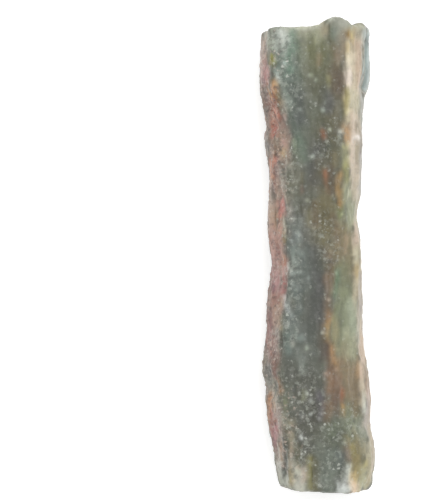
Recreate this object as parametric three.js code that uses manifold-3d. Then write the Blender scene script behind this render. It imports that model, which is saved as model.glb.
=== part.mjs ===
// A rough stick of jade, one natural piece, lying on its flattest long side.
// It split out of the rock along its fibres, so it is a long uneven prism: a broad face on top, a slope
// of weathered rind down its left, a bleached slope down its right, a ragged end with a knob, an end worn
// round, and an underside with a flat spot that it rests on.
// Millimetres. +Y runs along the stick to its knobbed end, +X across it to the right and +Z up.
// The origin is on the resting plane, under the middle of the stick.

import * as THREE from "three";
import { mergeVertices } from "three/addons/utils/BufferGeometryUtils.js";
import Module from "manifold-3d";

const wasm = await Module();
wasm.setup();

// Driving dimensions
const LENGTH = 38.7; // end to end, over the knob
const HALF = LENGTH / 2;
const RING_SPACING = 0.56; // between rings of points along the stick
const RELIEF_SCALE = 1; // how strongly the broken surface stands out

// The plan, seen from above: [station along the stick, distance across it], for each long edge.
const LEFT_EDGE = [
  [-19.3, -2.95], [-18.4, -3.2], [-17.5, -3.45], [-15.9, -3.62], [-15.1, -3.8], [-14.3, -3.95], [-12.6, -4.1],
  [-11.7, -4.25], [-10.9, -4.07], [-10.2, -4.3], [-9.4, -4.57], [-7.3, -4.35], [-6.1, -4.17],
  [-4.6, -4.2], [-2.8, -4.0], [-0.8, -3.75], [0.8, -3.95], [2.9, -4.05], [6.8, -3.9],
  [7.8, -4.05], [9.7, -4.35], [10.4, -4.15], [11.4, -4.35], [13.8, -4.75], [16.8, -4.68], [18.6, -4.65],
];
const CREST = [
  [-19.3, -2.1], [-16.7, -2.25], [-15.1, -2.7], [-13.5, -2.95], [-9.8, -3.1], [-7.3, -2.95],
  [-5.3, -2.7], [-2.0, -2.4], [4.5, -2.4], [7.8, -2.45], [9.4, -2.3], [10.6, -2.4],
  [12.3, -2.95], [13.9, -3.6], [14.7, -3.85], [16.7, -3.9], [18.6, -4.1],
];
const BROW = [
  [-19.3, 2.6], [-15.1, 2.45], [-12.7, 2.1], [-10.7, 1.6], [-8.6, 1.45], [-7.0, 1.05],
  [-2.9, 1.05], [-0.6, 1.3], [2.0, 1.95], [5.3, 1.75], [7.4, 1.8], [10.2, 2.0],
  [11.5, 2.3], [18.6, 2.35],
];
const RIGHT_EDGE = [
  [-19.3, 4.3], [-17.5, 4.65], [-16.3, 4.75], [-15.1, 4.6], [-13.5, 4.3], [-11.8, 4.4],
  [-10.2, 4.3], [-9.4, 4.15], [-7.7, 3.85], [-6.1, 3.7], [-3.7, 3.72], [-1.2, 3.6],
  [0.8, 3.5], [2.2, 3.35], [3.3, 3.2], [4.0, 3.3], [5.3, 3.55], [10.4, 3.65],
  [12.8, 3.8], [13.3, 3.98], [13.8, 4.15], [14.5, 4.3], [17.2, 4.25], [18.4, 4.1], [19.0, 3.75],
];
const SHOULDER_INSET = [
  [-19.3, 0.5], [-14.0, 0.6], [-11.0, 0.75], [-8.0, 0.5], [0.0, 0.35], [10.0, 0.3],
  [12.9, 0.3], [13.5, 0.62], [14.2, 0.74], [18.4, 0.6], [19.0, 0.3],
];
// By the knobbed end the right slope has lost a slab: a thin flake behind it still stands out there
// as a step, which grows and dies away again between these stations.
const FLAKE = { starts: 12.9, full: 13.6, thins: 18.2, ends: 18.9 };

// Heights above the resting plane of the same edges, [station, height].
const LEFT_HEIGHT = [[-19.3, 2.8], [-12, 3.4], [-5, 3.0], [3, 3.6], [10, 3.1], [18.6, 3.5]];
const CREST_HEIGHT = [[-19.3, 5.2], [-15, 5.7], [-8, 5.9], [0, 5.7], [8, 5.85], [14, 5.9], [18.6, 5.7]];
const BROW_HEIGHT = [[-19.3, 5.3], [-14, 5.8], [-7, 6.15], [0, 6.0], [6, 6.1], [12, 6.25], [18.6, 6.2]];
const SHOULDER_HEIGHT = [[-19.3, 4.0], [-10, 4.5], [0, 4.8], [8, 4.6], [13, 4.75], [18.6, 4.5]];
const RIGHT_HEIGHT = [[-19.3, 2.5], [-8, 2.9], [4, 3.1], [12.9, 3.3], [13.8, 2.4], [18.2, 2.2], [18.9, 3.0]];
const TROUGH_DEPTH = 0.22; // how far the broad face dips between its crest and its brow

// The underside runs in from both edges to a sole, which tips a little from side to side along the
// stick, so that it touches the resting plane on the left, in the middle and on the right in turn.
const SOLE_LEFT = { inset: 1.7, height: [[-19.3, 1.1], [-16, 0.2], [-9, 0.0], [-2, 0.2], [6, 0.55], [13, 0.3], [19.3, 0.8]] };
const SOLE_RIGHT = { inset: 1.9, height: [[-19.3, 0.9], [-15, 0.5], [-8, 0.6], [-1, 0.15], [5, 0.0], [13, 0.05], [19.3, 0.9]] };
const FLANK_INSET = 0.25; // how far in both flanks are, half way down

// The two ends, [distance across, station]: the top end is ragged with a knob, the other worn round.
const TOP_END = [
  [-4.5, 18.5], [-3.9, 18.6], [-1.4, 18.6], [0.1, 18.7], [0.7, 19.05], [1.3, 19.35],
  [1.85, 19.3], [2.2, 19.05], [2.5, 18.7], [3.6, 18.95], [4.0, 18.75], [4.3, 18.4],
];
const FOOT_END = [
  [-3.6, -18.4], [-3.2, -18.8], [-2.6, -19.0], [-1.8, -19.15], [-0.6, -19.2], [1.0, -19.3],
  [2.3, -19.4], [3.4, -19.6], [4.0, -19.6], [4.4, -19.5], [4.7, -19.25],
];
const END_LEAN = 0.12; // how far the ends fall back for each millimetre below the broad face
const END_REACH = 4.5; // how far from each end its shape is felt

// The low column that ends in the knob, and the dished hollow beside it.
const KNOB = { x: 1.5, y: 18.2, acrossIt: 0.75, alongIt: 2.6, rise: 0.42 };
const DISH = { x: -0.9, y: 18.4, acrossIt: 1.8, alongIt: 2.0, rise: -0.3 };
const LENS = { x: 2.6, y: 5.6, acrossIt: 0.9, alongIt: 2.6, rise: 0.2 };
const SADDLE = { x: 3.1, y: 0.4, acrossIt: 1.3, alongIt: 2.4, rise: -0.3 };
const BROW_FURROW = { x: 1.9, y: 14.4, acrossIt: 0.45, alongIt: 2.6, rise: -0.3 };
const LEFT_RIB = { x: -3.5, y: -14.0, acrossIt: 0.35, alongIt: 4.0, rise: 0.3 };
const LEFT_FURROW = { x: -2.55, y: -15.6, acrossIt: 0.3, alongIt: 3.4, rise: -0.35 };
const FORMS = [KNOB, DISH, LENS, SADDLE, BROW_FURROW, LEFT_RIB, LEFT_FURROW];

// Long shallow chips broken out of the edges: where, on how large a ball and how deep.
const CHIPS = [
  { edge: "crest", y: 9.4, radius: 7.5, depth: 0.26 },
  { edge: "crest", y: -1.4, radius: 6.0, depth: 0.24 },
  { edge: "crest", y: -11.4, radius: 8.0, depth: 0.26 },
  { edge: "brow", y: 3.4, radius: 9.0, depth: 0.2 },
  { edge: "brow", y: -12.4, radius: 7.0, depth: 0.24 },
  { edge: "shoulder", y: -5.2, radius: 7.0, depth: 0.26 },
  { edge: "soleLeft", y: 12.0, radius: 8.5, depth: 0.35 },
  { edge: "soleRight", y: -12.0, radius: 8.0, depth: 0.35 },
];

const lerp = THREE.MathUtils.lerp;
const smooth = THREE.MathUtils.smoothstep;

// The value at `at` of a smooth curve through [place, value] points.
function through(points, at) {
  const last = points.length - 1;
  if (at <= points[0][0]) return points[0][1];
  if (at >= points[last][0]) return points[last][1];
  const i = points.findIndex(([place]) => place > at) - 1;
  const [a, b] = [points[i], points[i + 1]];
  const [before, after] = [points[Math.max(i - 1, 0)], points[Math.min(i + 2, last)]];
  const gap = b[0] - a[0];
  const slopeIn = ((b[1] - before[1]) / (b[0] - before[0])) * gap;
  const slopeOut = ((after[1] - a[1]) / (after[0] - a[0])) * gap;
  const t = (at - a[0]) / gap;
  const t2 = t * t;
  const t3 = t2 * t;
  return (
    (2 * t3 - 3 * t2 + 1) * a[1] + (t3 - 2 * t2 + t) * slopeIn +
    (3 * t2 - 2 * t3) * b[1] + (t3 - t2) * slopeOut
  );
}

// Smooth random heights from -1 to 1, the same on every run.
function scatter(x, y, z) {
  const s = Math.sin(x * 127.1 + y * 311.7 + z * 74.7) * 43758.5453;
  return 2 * (s - Math.floor(s)) - 1;
}
function noise(x, y, z) {
  const [i, j, k] = [Math.floor(x), Math.floor(y), Math.floor(z)];
  const [u, v, w] = [smooth(x - i, 0, 1), smooth(y - j, 0, 1), smooth(z - k, 0, 1)];
  const row = (dy, dz) => lerp(scatter(i, j + dy, k + dz), scatter(i + 1, j + dy, k + dz), u);
  return lerp(lerp(row(0, 0), row(1, 0), v), lerp(row(0, 1), row(1, 1), v), w);
}

// Broken jade: splinters and grooves along the fibres, ledges where fibres snapped, lumps and grain.
// The weathered rind on the left is the lumpiest.
const SPLINTER = { width: 0.95, length: 5.5, height: 0.13 };
const LEDGE = { width: 1.9, length: 4.2, height: 0.14, sharpness: 5 };
const LUMP = { size: 1.5, height: 0.12, onRind: 2 };
const GRAIN = { size: 0.75, height: 0.07, onRind: 2 };
const RIND_WIDTH = 1.1; // from the left edge in to where the rind has thinned out
function relief(x, y, z) {
  const splinters = noise(x / SPLINTER.width, y / SPLINTER.length, z / SPLINTER.width);
  const snapped = noise(x / LEDGE.width + 7, y / LEDGE.length, z / LEDGE.width);
  const lumps = noise(x / LUMP.size + 3, y / LUMP.size, z / LUMP.size + 5);
  const grain = noise(x / GRAIN.size, y / GRAIN.size + 9, z / GRAIN.size);
  const onRind = 1 - smooth(x - through(LEFT_EDGE, y), RIND_WIDTH * 0.6, RIND_WIDTH * 1.4);
  const ridged = 1 - 2 * Math.abs(splinters);
  return RELIEF_SCALE * (
    SPLINTER.height * ridged + LEDGE.height * Math.tanh(LEDGE.sharpness * snapped) +
    LUMP.height * lumps * lerp(1, LUMP.onRind, onRind) +
    GRAIN.height * grain * lerp(1, GRAIN.onRind, onRind)
  );
}

// How far a larger form, such as the knob, lifts or sinks the upper surface at a point.
function formLift(x, y) {
  const bump = ({ x: cx, y: cy, acrossIt, alongIt, rise }) =>
    rise * Math.exp(-(((x - cx) / acrossIt) ** 2) - ((y - cy) / alongIt) ** 2);
  return FORMS.reduce((sum, form) => sum + bump(form), 0);
}

// The corners of the cross-section at one station, from the left edge over the top and back beneath,
// each with the number of steps from it to the next.
function corners(y) {
  const left = { x: through(LEFT_EDGE, y), z: through(LEFT_HEIGHT, y) };
  const crest = { x: through(CREST, y), z: through(CREST_HEIGHT, y) };
  const brow = { x: through(BROW, y), z: through(BROW_HEIGHT, y) };
  const right = { x: through(RIGHT_EDGE, y), z: through(RIGHT_HEIGHT, y) };
  const shoulder = { x: right.x - through(SHOULDER_INSET, y), z: through(SHOULDER_HEIGHT, y) };
  const step = smooth(y, FLAKE.starts, FLAKE.full) * (1 - smooth(y, FLAKE.thins, FLAKE.ends));
  const foot = {
    x: lerp((shoulder.x + right.x) / 2, shoulder.x + 0.1, step),
    z: lerp((shoulder.z + right.z) / 2, right.z + 0.25, step),
  };
  const trough = { x: (crest.x + brow.x) / 2, z: (crest.z + brow.z) / 2 - TROUGH_DEPTH };
  return {
    left: { ...left, steps: 5 },
    crest: { ...crest, steps: 6 },
    trough: { ...trough, steps: 6 },
    brow: { ...brow, steps: 5 },
    shoulder: { ...shoulder, steps: 2 },
    foot: { ...foot, steps: 2 },
    right: { ...right, steps: 3 },
    rightFlank: { x: right.x - FLANK_INSET, z: right.z / 2, steps: 3 },
    soleRight: { x: right.x - SOLE_RIGHT.inset, z: through(SOLE_RIGHT.height, y), steps: 6 },
    soleLeft: { x: left.x + SOLE_LEFT.inset, z: through(SOLE_LEFT.height, y), steps: 3 },
    leftFlank: { x: left.x + FLANK_INSET, z: left.z / 2, steps: 3 },
  };
}
function ringAt(y) {
  const list = Object.values(corners(y));
  return list.flatMap((corner, i) => {
    const next = list[(i + 1) % list.length];
    return Array.from({ length: corner.steps }, (_, n) => {
      const t = n / corner.steps;
      return { x: lerp(corner.x, next.x, t), z: lerp(corner.z, next.z, t) };
    });
  });
}

// Each ring's share of the way along, and how much of its full section it keeps. The rings crowd
// together at the ends, where they grow rounder and draw in to a point in the middle of the end face.
const TOP_RINGS = [
  [0.9925, 0.995], [0.9985, 0.975], [1, 0.92], [1, 0.8], [1, 0.66], [1, 0.52], [1, 0.38], [1, 0.25], [1, 0.12],
];
const FOOT_RINGS = [
  [0, 0.12], [0, 0.25], [0, 0.38], [0, 0.52], [0, 0.66], [0, 0.8], [0.001, 0.92], [0.004, 0.97], [0.015, 0.995],
];
function ringPlan() {
  const [from, to] = [0.035, 0.984];
  const count = Math.round((LENGTH * (to - from)) / RING_SPACING);
  const body = Array.from({ length: count + 1 }, (_, i) => [lerp(from, to, i / count), 1]);
  return [...FOOT_RINGS, ...body, ...TOP_RINGS];
}

// How far the shape of the two ends moves a point along the stick.
function endShift({ x, z }, y) {
  const lean = END_LEAN * (BROAD_FACE - z);
  const atTop = smooth(y, HALF - END_REACH, HALF);
  const atFoot = smooth(-y, HALF - END_REACH, HALF);
  return atTop * (through(TOP_END, x) - lean - HALF) + atFoot * (through(FOOT_END, x) + lean + HALF);
}

// The skin as one closed mesh: rings joined by triangles, with a fan to the middle of each end.
const BROAD_FACE = 5.9;
const CORE = { x: 0, z: 3, halfWidth: 4.1, halfHeight: 2.9 };
function skin() {
  const places = [];
  const indices = [];
  const rings = ringPlan();
  const around = ringAt(0).length;
  const put = (point, station) => places.push(point.x, station + endShift(point, station), point.z);
  for (const [share, kept] of rings) {
    const station = lerp(-HALF, HALF, share);
    ringAt(station).forEach((roughly, i) => {
      const p = ringAt(station + endShift(roughly, station))[i];
      const turn = Math.PI - (2 * Math.PI * i) / around;
      const x = lerp(CORE.halfWidth * Math.cos(turn), p.x - CORE.x, kept);
      const z = lerp(CORE.halfHeight * Math.sin(turn), p.z - CORE.z, kept);
      put({ x: CORE.x + kept * x, z: CORE.z + kept * z }, station);
    });
  }
  for (let r = 0; r + 1 < rings.length; r++)
    for (let i = 0; i < around; i++) {
      const [a, b] = [r * around + i, r * around + ((i + 1) % around)];
      indices.push(a, b, a + around, b, b + around, a + around);
    }
  const [foot, top] = [rings.length * around, rings.length * around + 1];
  put(CORE, -HALF);
  put(CORE, HALF);
  const lastRing = (rings.length - 1) * around;
  for (let i = 0; i < around; i++) {
    const next = (i + 1) % around;
    indices.push(next, i, foot, lastRing + i, lastRing + next, top);
  }
  const geometry = new THREE.BufferGeometry();
  geometry.setAttribute("position", new THREE.Float32BufferAttribute(places, 3));
  geometry.setIndex(indices);
  geometry.computeVertexNormals();
  return geometry;
}

// Moves every point along its normal by the relief, and lifts the upper surface by the larger forms.
// The widest points keep to the plan, and no other point moves far outside it.
const SWELL = 0.2;
const HELD = { relief: 0.25, from: 0.05, to: 0.3 };
function within(value, low, high) {
  if (value < low) return low - (low - value) * SWELL;
  if (value > high) return high + (value - high) * SWELL;
  return value;
}
function roughen(geometry) {
  const place = geometry.attributes.position;
  const normal = geometry.attributes.normal;
  for (let i = 0; i < place.count; i++) {
    const p = new THREE.Vector3().fromBufferAttribute(place, i);
    const n = new THREE.Vector3().fromBufferAttribute(normal, i);
    const [left, right] = [through(LEFT_EDGE, p.y), through(RIGHT_EDGE, p.y)];
    const facingUp = smooth(n.z, 0.1, 0.7);
    const free = smooth(Math.min(p.x - left, right - p.x), HELD.from, HELD.to);
    const depth = relief(p.x, p.y, p.z) * lerp(HELD.relief, 1, free);
    const moved = p.clone().addScaledVector(n, depth);
    moved.z += facingUp * formLift(p.x, p.y);
    moved.x = within(moved.x, left, right);
    moved.y = within(moved.y, through(FOOT_END, p.x), through(TOP_END, p.x));
    place.setXYZ(i, moved.x, moved.y, moved.z);
  }
  return geometry;
}

function solidFrom(geometry) {
  const bare = geometry.clone();
  bare.deleteAttribute("normal");
  bare.deleteAttribute("uv");
  const merged = mergeVertices(bare);
  return new wasm.Manifold(
    new wasm.Mesh({
      numProp: 3,
      vertProperties: merged.attributes.position.array,
      triVerts: new Uint32Array(merged.index.array),
    }),
  );
}

// A chip is a shallow bite by a dented ball whose middle lies outside the edge.
const DENT = { size: 2.2, depth: 0.3 };
function chipBall({ edge, y, radius, depth }) {
  const corner = corners(y)[edge];
  const ball = new THREE.IcosahedronGeometry(radius, 5);
  const point = ball.attributes.position;
  for (let i = 0; i < point.count; i++) {
    const p = new THREE.Vector3().fromBufferAttribute(point, i);
    const dent = DENT.depth * noise(p.x / DENT.size + y, p.y / DENT.size, p.z / DENT.size);
    p.multiplyScalar(1 + dent / radius);
    point.setXYZ(i, p.x, p.y, p.z);
  }
  const middle = new THREE.Vector2(0, 3);
  const out = new THREE.Vector2(corner.x, corner.z).sub(middle).normalize();
  const away = radius - depth;
  ball.translate(corner.x + out.x * away, y, corner.z + out.y * away);
  return solidFrom(ball);
}

// The flat spot is where the resting plane cuts through the underside.
function belowRestingPlane(height) {
  const slab = new THREE.BoxGeometry(LENGTH, 2 * LENGTH, LENGTH);
  slab.translate(0, 0, height - LENGTH / 2);
  return solidFrom(slab);
}

const CUT_HEIGHT = 0.14;
let stone = solidFrom(roughen(skin()));
for (const chip of CHIPS) stone = stone.subtract(chipBall(chip));
stone = stone.subtract(belowRestingPlane(CUT_HEIGHT));

const cut = stone.getMesh();
const geometry = new THREE.BufferGeometry();
geometry.setAttribute("position", new THREE.Float32BufferAttribute(cut.vertProperties, 3));
geometry.setIndex(new THREE.BufferAttribute(cut.triVerts, 1));
geometry.computeBoundingBox();
const { min, max } = geometry.boundingBox;
geometry.translate(-(min.x + max.x) / 2, -(min.y + max.y) / 2, -min.z);
geometry.computeVertexNormals();

const jade = new THREE.MeshStandardMaterial({ color: 0x7a7c6e, roughness: 0.55, metalness: 0 });
const stick = new THREE.Mesh(geometry, jade);
stick.name = "rough_jade";

const part = new THREE.Group();
part.add(stick);
export default part;
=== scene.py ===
# A rough stick of jade lying on its flattest side on a pale surface, seen from straight above.
# Everything is in metres. +Y runs along the stick to its knobbed end, +X to the right, +Z up.

import bpy
import numpy as np
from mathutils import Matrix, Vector, noise


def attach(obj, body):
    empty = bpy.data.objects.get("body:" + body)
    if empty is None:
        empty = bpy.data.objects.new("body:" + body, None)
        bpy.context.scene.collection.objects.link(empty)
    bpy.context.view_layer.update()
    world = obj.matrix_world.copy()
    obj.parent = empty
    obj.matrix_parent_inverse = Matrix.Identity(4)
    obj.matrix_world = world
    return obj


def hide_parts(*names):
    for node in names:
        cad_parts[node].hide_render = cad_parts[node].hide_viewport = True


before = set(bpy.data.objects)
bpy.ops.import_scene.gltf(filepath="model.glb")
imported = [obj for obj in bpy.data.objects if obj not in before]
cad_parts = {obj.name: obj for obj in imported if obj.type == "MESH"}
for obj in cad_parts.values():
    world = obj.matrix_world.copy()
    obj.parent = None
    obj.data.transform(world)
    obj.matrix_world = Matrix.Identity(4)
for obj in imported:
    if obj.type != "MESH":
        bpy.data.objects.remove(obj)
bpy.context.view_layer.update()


# The camera looks straight down through a very long lens, so that the stick's sides run nearly
# parallel to the view, from as far away as holds the picture's height. The stick lies right of the
# middle of the picture.
MM = 0.001
LENS_MM = 400
SENSOR_MM = 36
PICTURE_HEIGHT_PX = 500
PIXELS_PER_MM = 12.25
PICTURE_MIDDLE_MM = (-8.65, 0.46)
WIDEST_HEIGHT_MM = 3.5  # the level of the stick that the picture's scale is true for

camera_data = bpy.data.cameras.new("camera")
camera_data.lens = LENS_MM
camera_data.sensor_width = SENSOR_MM
camera_data.clip_start = 0.01
camera_data.clip_end = 10
camera = bpy.data.objects.new("camera", camera_data)
bpy.context.scene.collection.objects.link(camera)
distance_mm = PICTURE_HEIGHT_PX / PIXELS_PER_MM * LENS_MM / SENSOR_MM
camera.location = (
    PICTURE_MIDDLE_MM[0] * MM,
    PICTURE_MIDDLE_MM[1] * MM,
    (WIDEST_HEIGHT_MM + distance_mm) * MM,
)
bpy.context.scene.camera = camera


# The stone: nephrite jade, split out of the rock along its fibres and never worked. Its broad face is
# a frosty break, its left slope a weathered rind, and the rest has worn a little in the ground.
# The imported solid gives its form, which is remeshed finely and broken up into splinters and grains.
SKIN_STEP_MM = 0.114  # the spacing of the finished surface's points
MERGE_MM = 0.001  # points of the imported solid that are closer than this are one

bpy.ops.object.select_all(action="DESELECT")
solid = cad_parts["rough_jade"]
solid.select_set(True)
bpy.context.view_layer.objects.active = solid
bpy.ops.object.duplicate()
stone = bpy.context.view_layer.objects.active
stone.name = "jade_stick"
stone.parent = None
for key in [k for k in stone.keys() if k.startswith("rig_")]:
    del stone[key]
bpy.ops.object.mode_set(mode="EDIT")
bpy.ops.mesh.select_all(action="SELECT")
bpy.ops.mesh.remove_doubles(threshold=MERGE_MM * MM)
bpy.ops.mesh.quads_convert_to_tris()
bpy.ops.object.mode_set(mode="OBJECT")
bpy.ops.object.modifier_add(type="REMESH")
stone.modifiers[-1].mode = "VOXEL"
stone.modifiers[-1].voxel_size = SKIN_STEP_MM * MM
stone.modifiers[-1].use_smooth_shade = True
bpy.ops.object.modifier_apply(modifier=stone.modifiers[-1].name)


def points_mm():
    """The stone's points, in millimetres."""
    flat = np.empty(len(stone.data.vertices) * 3, np.float32)
    stone.data.vertices.foreach_get("co", flat)
    return flat.reshape(-1, 3).astype(float) / MM


def smooth_step(values, low, high):
    """0 up to low, 1 from high on, and smoothly from one to the other between them."""
    share = np.clip((values - low) / (high - low), 0, 1)
    return share * share * (3 - 2 * share)


FALL_OFF, FINER_BY, OCTAVES = 1.0, 2.0, 3


def uneven(points, size_mm, offset):
    """A natural unevenness at each point, mostly within -0.5 and 0.5, with size_mm along each axis."""
    at = points / np.array(size_mm) + offset
    return np.array([noise.fractal(Vector(p), FALL_OFF, FINER_BY, OCTAVES) for p in at])


FAR_MM = 99.0
SHORTEST = 1e-9  # keeps a path of one point from dividing by nothing


def nearness(points, half_width, path):
    """How near each point is to a drawn line: 1 on it, 0.5 at its half width, 0 at twice that."""
    gap = np.full(len(points), FAR_MM)
    for start, end in zip(path, path[1:] or path):
        start, along = np.array(start, float), np.subtract(end, start)
        share = np.clip((points - start) @ along / max(along @ along, SHORTEST), 0, 1)
        gap = np.minimum(gap, np.linalg.norm(points - start - share[:, None] * along, axis=1))
    return 1 - gap / (2 * half_width)


WEIGHT_STEPS = 50


def weigh(name, weights):
    """Keeps a weight for each point of the stone as a vertex group, for a modifier to read."""
    group = stone.vertex_groups.new(name=name)
    steps = np.round(np.clip(weights, 0, 1) * WEIGHT_STEPS).astype(int)
    for step in range(1, WEIGHT_STEPS + 1):
        group.add(np.nonzero(steps == step)[0].tolist(), step / WEIGHT_STEPS, "REPLACE")


def displace(height_mm, level, weights, texture=None, size_mm=None):
    """Moves the surface in or out, evenly or by a procedural texture drawn out along each axis."""
    bpy.ops.object.modifier_add(type="DISPLACE")
    modifier = stone.modifiers[-1]
    modifier.strength = height_mm * MM
    modifier.mid_level = level
    modifier.vertex_group = weights
    if texture:
        ruler = bpy.data.objects.new("ruler", None)
        bpy.context.scene.collection.objects.link(ruler)
        ruler.scale = [s * MM for s in size_mm]
        bpy.context.view_layer.update()
        modifier.texture = texture
        modifier.texture_coords = "OBJECT"
        modifier.texture_coords_object = ruler
    bpy.ops.object.modifier_apply(modifier=modifier.name)
    if texture:
        bpy.data.objects.remove(ruler)


# Splits and ribs along the fibres, and the right corners, which stand out sharper than in the solid.
# All are seen from above, as (half width, path), in millimetres.
SPLITS = [
    (0.07, [(-2.55, 3.5), (-2.62, 1.0), (-2.6, -1.5), (-2.68, -3.8)]),
    (0.06, [(-3.5, 3.8), (-3.42, 1.9), (-3.1, 0.2)]),
    (0.07, [(0.78, 18.9), (0.72, 17.6), (0.95, 16.8)]),
    (0.07, [(2.2, 18.0), (2.15, 16.8), (2.2, 14.2), (2.2, 12.8)]),
    (0.06, [(0.85, -0.5), (0.82, -2.4), (0.7, -4.6)]),
    (0.06, [(1.2, -7.2), (1.35, -8.4), (0.95, -9.6)]),
    (0.06, [(3.45, -14.0), (3.9, -15.2), (4.1, -16.5)]),
    (0.07, [(3.6, -11.0), (3.65, -12.8)]),
    (0.09, [(-2.65, -15.6), (-2.6, -17.9)]),
    (0.06, [(-0.45, -16.4), (-0.4, -18.4)]),
    (0.06, [(1.62, 6.6), (1.6, 4.4), (1.75, 3.8)]),
    (0.06, [(-2.95, -5.0), (-3.05, -9.8), (-2.9, -12.4)]),
    (0.06, [(-3.65, 5.5), (-3.6, 4.5)]),
]
RIBS = [
    (0.12, [(-3.0, 7.2), (-2.8, 5.7), (-2.5, 4.2)]),
    (0.1, [(-3.25, -4.2), (-3.1, -6.4)]),
    (0.12, [(3.75, -11.1), (3.8, -12.8)]),
    (0.1, [(-2.3, -15.8), (-2.25, -18.4)]),
]
CORNERS = [
    (0.55, [(3.95, 18.6)]),
    (0.4, [(4.6, -18.8)]),
]
UPPER_MM = (2.6, 3.4)  # marks of the upper side fade in between these two levels
OFF_GROUND_MM = (0.05, 0.5)  # below these levels the stone keeps the solid's flat spots
WANDER_SIZE_MM = (1.2, 1.2, 1.2)
WANDER_ACROSS_MM = 0.12
WANDER_ALONG_MM = 0.2
FULLER = 1.2  # a mark keeps its full height a little way out from its line
skin = points_mm()
upper = smooth_step(skin[:, 2], *UPPER_MM)
off_ground = smooth_step(skin[:, 2], *OFF_GROUND_MM)
wander = [
    WANDER_ACROSS_MM * uneven(skin, WANDER_SIZE_MM, 3),
    WANDER_ALONG_MM * uneven(skin, WANDER_SIZE_MM, 8),
]
plan = skin[:, :2] + np.stack(wander, axis=1)
MARKS = [  # (name, lines, height in mm, where)
    ("splits", SPLITS, -0.1, upper),
    ("ribs", RIBS, 0.09, upper),
    ("corners", CORNERS, 0.25, off_ground),
]
for name, lines, height_mm, where in MARKS:
    near = np.max([nearness(plan, half_width, path) for half_width, path in lines], axis=0)
    weigh(name, where * near * FULLER)
    displace(height_mm, 0, name)

# Where the break is most frosted with loose white grains, and where the rind is pitted, as
# (half width, path), in millimetres.
FROSTED = [
    (0.9, [(-3.0, 18.0), (-2.6, 14.6), (-2.6, 12.4)]),
    (0.5, [(-2.3, 9.4), (-2.3, 5.4)]),
    (0.7, [(-2.3, 3.4), (-2.3, -3.0), (-2.6, -6.5)]),
    (1.3, [(-1.3, -10.8), (-1.1, -15.6)]),
    (1.2, [(1.0, -14.0), (1.0, -18.0)]),
    (0.6, [(1.4, 10.2), (0.2, 7.8)]),
    (0.7, [(0.4, 2.2), (1.0, 0.0)]),
    (0.6, [(2.8, -12.6), (3.0, -15.0)]),
]
PITTED = [
    (0.5, [(-4.3, 13.4), (-4.0, 11.0)]),
    (0.6, [(-3.4, 9.8), (-3.1, 7.4), (-3.0, 5.4)]),
    (0.6, [(-4.0, -6.6), (-4.0, -11.0)]),
    (0.8, [(-2.7, -11.6), (-2.4, -17.4)]),
    (0.4, [(-3.0, -15.0), (-2.8, -17.6)]),
]
for name, marks in (("frosted", FROSTED), ("pitted", PITTED)):
    near = np.max([nearness(plan, half_width, path) for half_width, path in marks], axis=0)
    mask = np.clip(near, 0, 1)
    attribute = stone.data.attributes.new(name, "FLOAT", "POINT")
    attribute.data.foreach_set("value", mask.astype(np.float32))
    weigh(name + " relief", mask * off_ground)

# The relief of the break: fibres, crumbs and crystals, with more of it on the rind, frost and pits.
RIND_FROM_MM, RIND_TO_MM = 2.5, 3.3  # how far left of the middle the rind sets in
RIND_ELSEWHERE = 0.2  # the share of the rind's crumbs that the rest of the stone has
fibres = bpy.data.textures.new("fibres", "MUSGRAVE")
fibres.musgrave_type = "RIDGED_MULTIFRACTAL"
fibres.octaves = 3
fibres.noise_scale = 1
crumbs = bpy.data.textures.new("crumbs", "CLOUDS")
crumbs.noise_basis = "IMPROVED_PERLIN"
crumbs.noise_depth = 2
crumbs.noise_scale = 1
crystals = bpy.data.textures.new("crystals", "VORONOI")
crystals.noise_scale = 1
rind = smooth_step(-plan[:, 0], RIND_FROM_MM, RIND_TO_MM)
stone.data.attributes.new("rind", "FLOAT", "POINT").data.foreach_set("value", rind.astype(np.float32))
weigh("off_ground", off_ground)
weigh("rind", off_ground * np.maximum(rind, RIND_ELSEWHERE))
RELIEF = [  # (height in mm, the texture's level that stays in place, where, texture, size in mm)
    (0.04, 0.6, "off_ground", fibres, (0.45, 2.6, 0.45)),
    (0.12, 0.5, "off_ground", crumbs, (0.5, 0.9, 0.5)),
    (0.2, 0.5, "rind", crumbs, (0.3, 0.35, 0.3)),
    (0.05, 0.5, "off_ground", crystals, (0.35, 0.45, 0.35)),
    (0.16, 0.5, "frosted relief", crumbs, (0.4, 0.45, 0.4)),
    (0.12, 0.5, "pitted relief", crystals, (0.3, 0.3, 0.3)),
]
for height_mm, level, where, texture, size_mm in RELIEF:
    displace(height_mm, level, where, texture, size_mm)
stone.vertex_groups.clear()


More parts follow.
